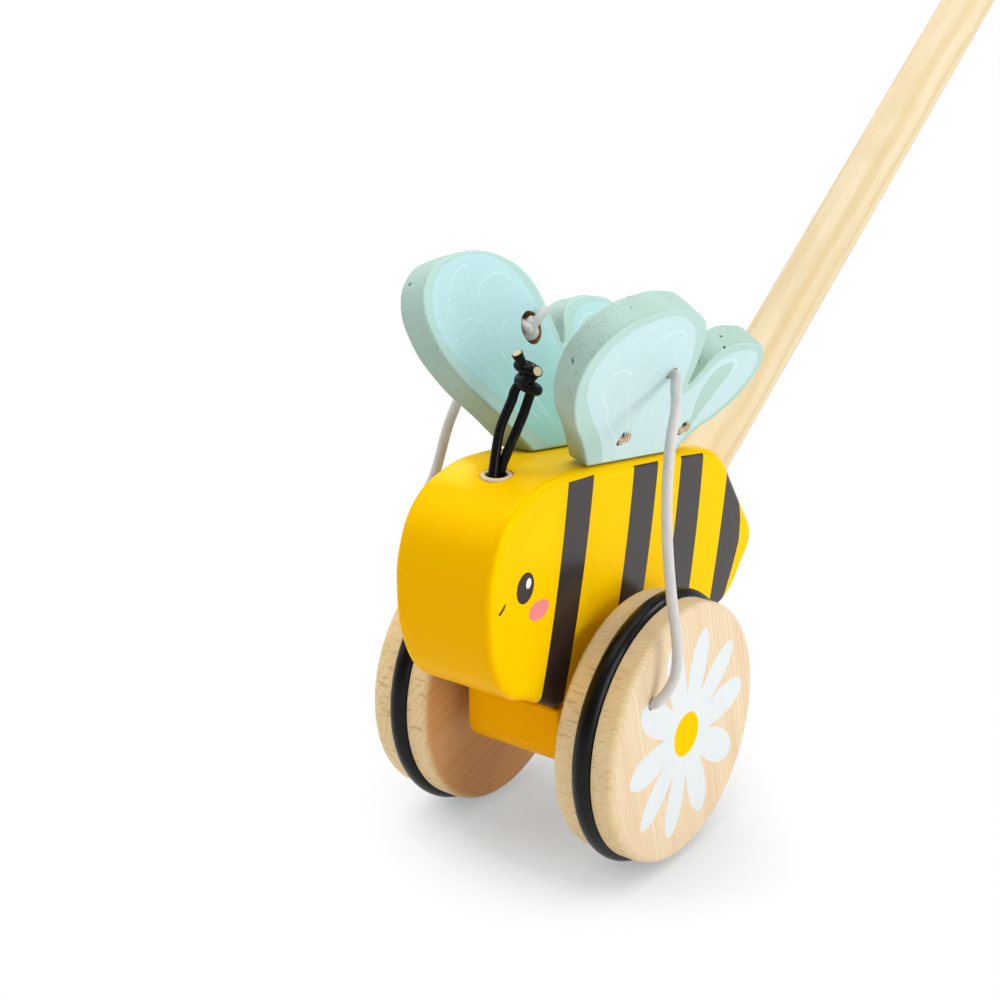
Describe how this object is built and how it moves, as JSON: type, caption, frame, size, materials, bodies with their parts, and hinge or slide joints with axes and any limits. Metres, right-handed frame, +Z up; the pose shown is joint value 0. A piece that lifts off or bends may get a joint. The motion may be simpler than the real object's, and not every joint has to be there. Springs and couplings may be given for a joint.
{
  "type": "toddler push toy",
  "caption": "Wooden push-along bee on rubber-tyred wheels, with a round push handle and standing wings that cords pull down as the wheels turn.",
  "frame": {"origin": "midway along, between and under the toy: the tyres stand on z = 0, x = 0 is the middle of the body, and y = 0 is midway between the nose and the end of the handle", "axes": "+Z up, the bee looks along -Y and is pushed that way, the handle rises along +Y, and +X is the bee's left"},
  "size_m": [0.114, 0.5258, 0.3683],
  "materials": {
    "yellow_paint": "satin yellow paint over solid wood",
    "natural_wood": "clear satin over pale beech",
    "green_paint": "matt pale grey-green paint over solid wood",
    "black_rubber": "black rubber ring",
    "black_cord": "waxed black cord",
    "white_cord": "smooth white elastic cord",
    "tie_cord": "natural cream cord",
    "steel": "plain steel"
  },
  "bodies": {
    "frame": {"body": "yellow_paint", "axle_block": "yellow_paint", "dowel_front": "natural_wood", "dowel_rear": "natural_wood", "handle": "natural_wood", "handle_screw": "steel", "antenna_bush": "natural_wood", "antenna_cord": "black_cord", "pull_cord_left": "white_cord", "pull_cord_right": "white_cord", "tie_left_front": "tie_cord", "tie_left_rear": "tie_cord", "tie_right_front": "tie_cord", "tie_right_rear": "tie_cord"},
    "wheelset": {"axle": "natural_wood", "spacer_left": "natural_wood", "spacer_right": "natural_wood", "wheel_left": "natural_wood", "wheel_right": "natural_wood", "tyre_left": "black_rubber", "tyre_right": "black_rubber", "wheel_knot_left": "white_cord", "wheel_knot_right": "white_cord"},
    "left_wing": {"wing_left": "green_paint", "wing_knot_left": "white_cord"},
    "right_wing": {"wing_right": "green_paint", "wing_knot_right": "white_cord"}
  },
  "joints": [
    {"name": "wheel_turn", "type": "hinge", "parent": "frame", "child": "wheelset", "pos_m": [0, -0.19405, 0.04735], "axis": [1, 0, 0], "continuous": true},
    {"name": "wing_left_flap", "type": "hinge", "parent": "frame", "child": "left_wing", "pos_m": [0.0168, -0.21429, 0.14111], "axis": [0, 0.985, -0.1724], "range_deg": [-9.6, 60], "stiffness_Nm_per_rad": 0.06, "springref_deg": -4.58, "deforming": ["pull_cord_left", "tie_left_front", "tie_left_rear"]},
    {"name": "wing_right_flap", "type": "hinge", "parent": "frame", "child": "right_wing", "pos_m": [-0.0163, -0.21429, 0.14111], "axis": [0, -0.985, 0.1724], "range_deg": [0, 70], "stiffness_Nm_per_rad": 0.06, "springref_deg": -6.88, "deforming": ["pull_cord_right", "tie_right_front", "tie_right_rear"]}
  ]
}
